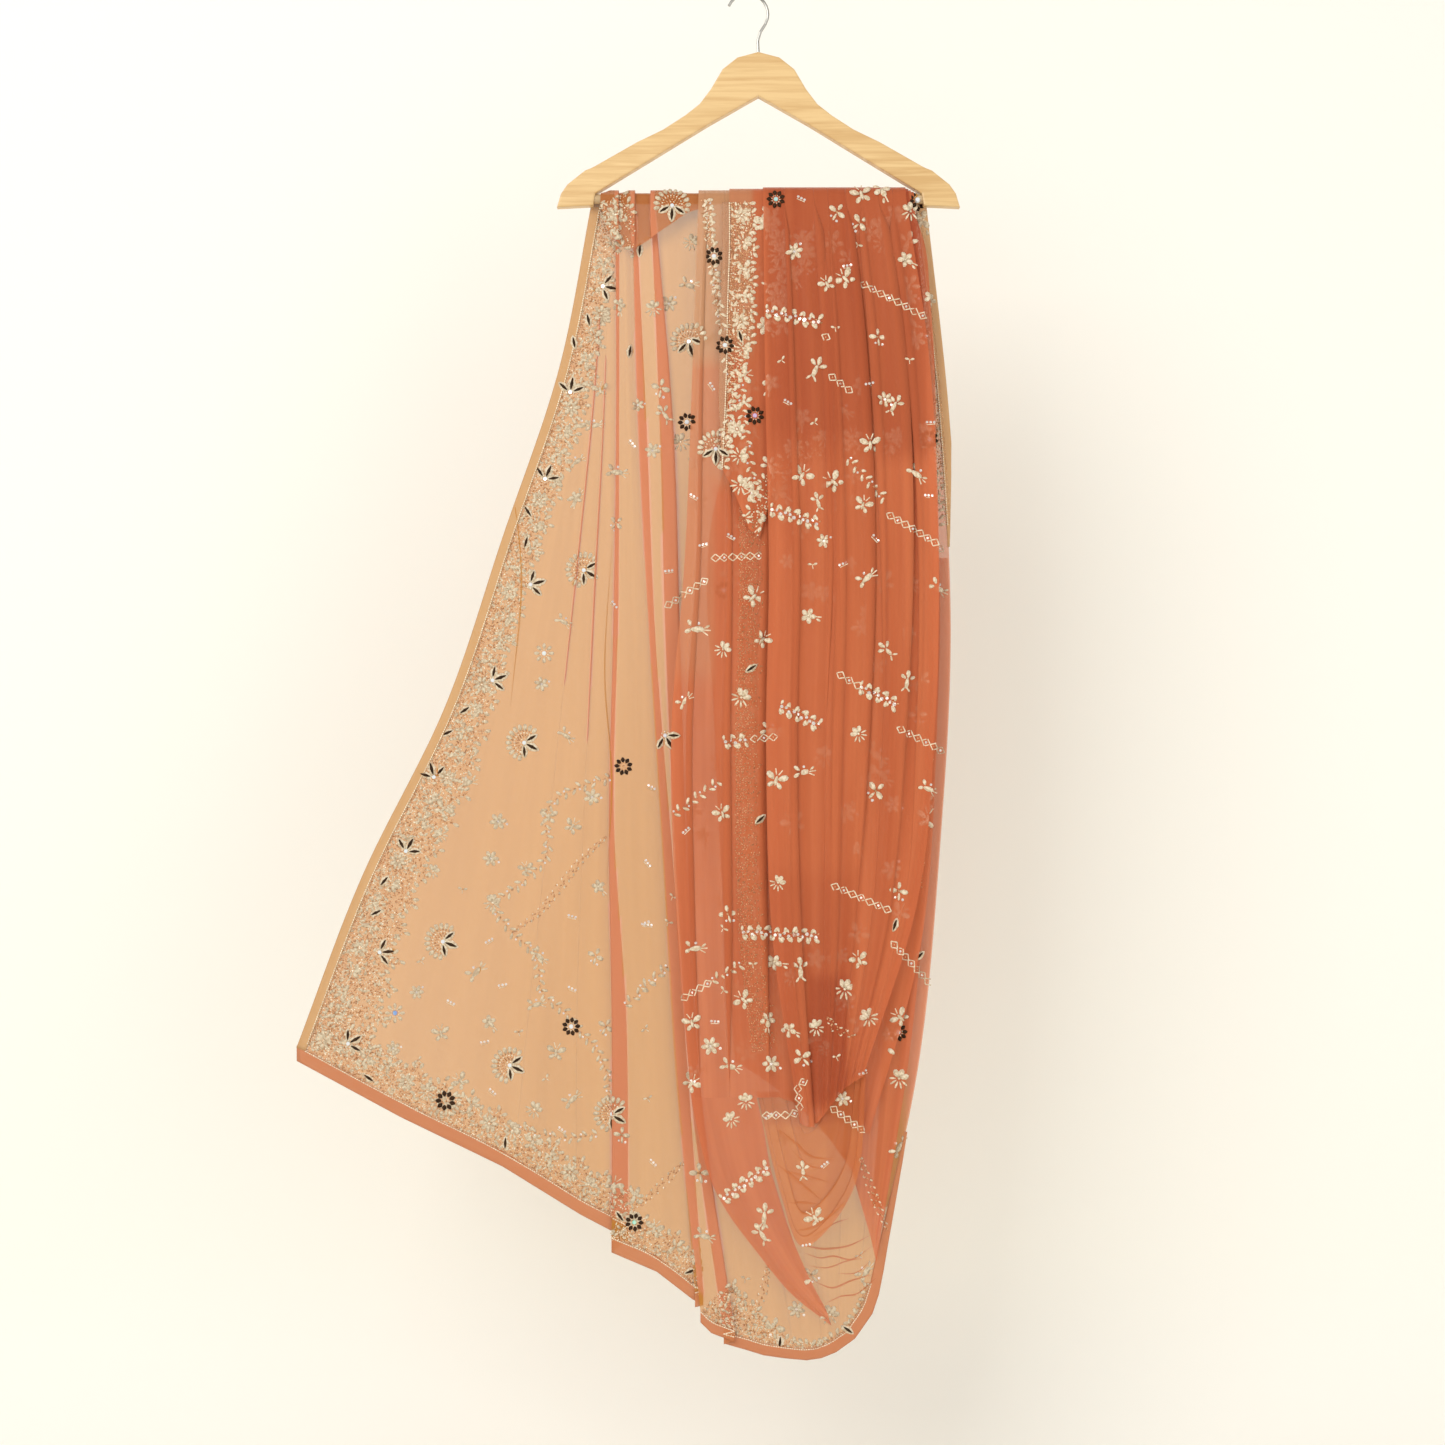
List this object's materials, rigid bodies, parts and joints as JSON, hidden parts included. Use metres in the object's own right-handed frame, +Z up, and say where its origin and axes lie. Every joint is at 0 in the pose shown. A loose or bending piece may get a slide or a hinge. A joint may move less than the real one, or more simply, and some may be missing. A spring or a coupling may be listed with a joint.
{
  "type": "dupatta stole on wooden hanger",
  "caption": "Sheer embroidered dupatta stole draped over the trouser bar of a wooden hanger, one corner spread wide, the rest in close pleated falls that end in a loose cowl",
  "frame": {"origin": "the inner top of the hanger's hook, where a rail or a nail carries it", "axes": "+Z up, +X to the viewer's right along the trouser bar, the front of the cloth faces -Y"},
  "size_m": [0.7346, 0.0378, 1.5134],
  "materials": {
    "hanger_wood": "satin lacquer",
    "bar_wood": "bare turned wood",
    "hook_steel": "nickel plated wire",
    "net": "sheer silk net with metal thread, sequins and beads",
    "edging": "folded sheer binding with a corded line"
  },
  "bodies": {
    "root": {"hanger_arms": "hanger_wood", "hanger_bar": "bar_wood", "hanger_hook": "hook_steel", "fall_spread": "net", "fall_under": "net", "fall_inner": "net", "fall_mid": "net", "flap_border": "net", "fall_front": "net", "swag_band": "net", "swag_cowl": "net", "border_turned": "net", "edging_end": "edging", "edging_hem_spread": "edging", "edging_cowl": "edging", "edging_side": "edging", "edging_flap": "edging"}
  },
  "joints": []
}
